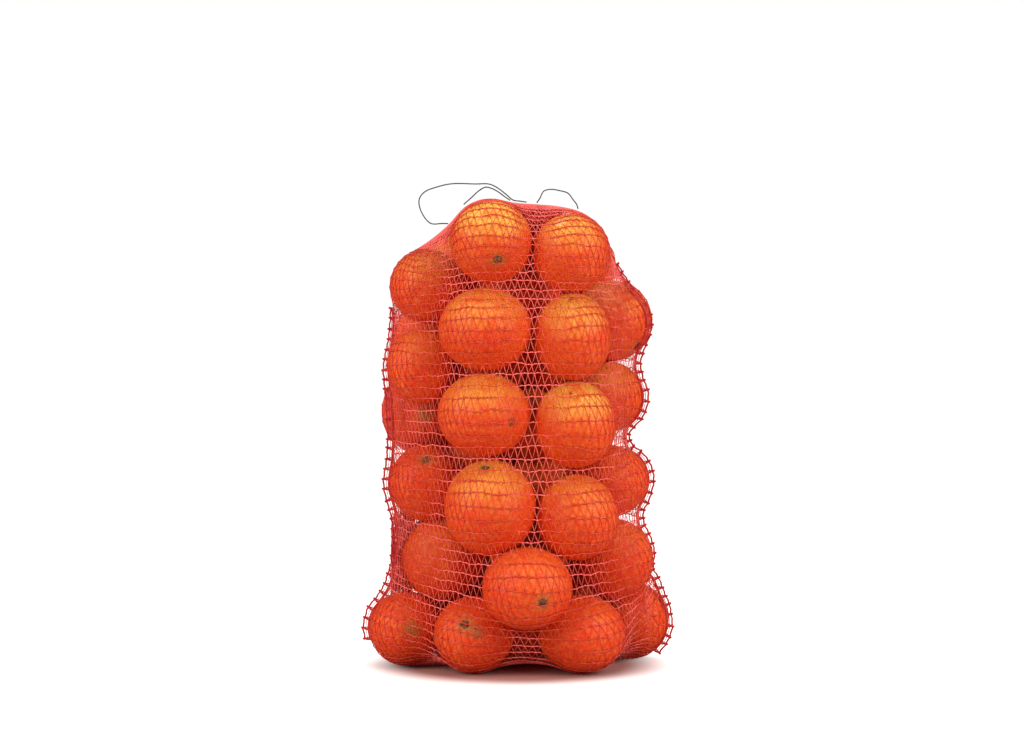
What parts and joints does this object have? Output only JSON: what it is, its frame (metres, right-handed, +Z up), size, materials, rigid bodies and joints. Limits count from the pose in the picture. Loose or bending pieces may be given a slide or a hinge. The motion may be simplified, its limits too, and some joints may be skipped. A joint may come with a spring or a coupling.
{
  "type": "net of oranges",
  "caption": "Tall red knitted net sack packed with oranges, standing on its base, with sewn side seams and a loose dark drawstring at the mouth.",
  "frame": {"origin": "on the floor, at the middle of the sack's width and depth", "axes": "+Z up, +X to the right along the sack's width, the front faces -Y"},
  "size_m": [0.2512, 0.1939, 0.3872],
  "materials": {
    "netting": "knitted red plastic yarn, slightly shiny",
    "orange_peel": "pored orange peel with a waxy sheen",
    "drawstring": "stiff dark waxed twine"
  },
  "bodies": {
    "root": {"net_of_oranges": "netting", "drawstring_left_loop": "drawstring", "drawstring_inner_loop": "drawstring", "drawstring_right_loop": "drawstring"}
  },
  "joints": []
}
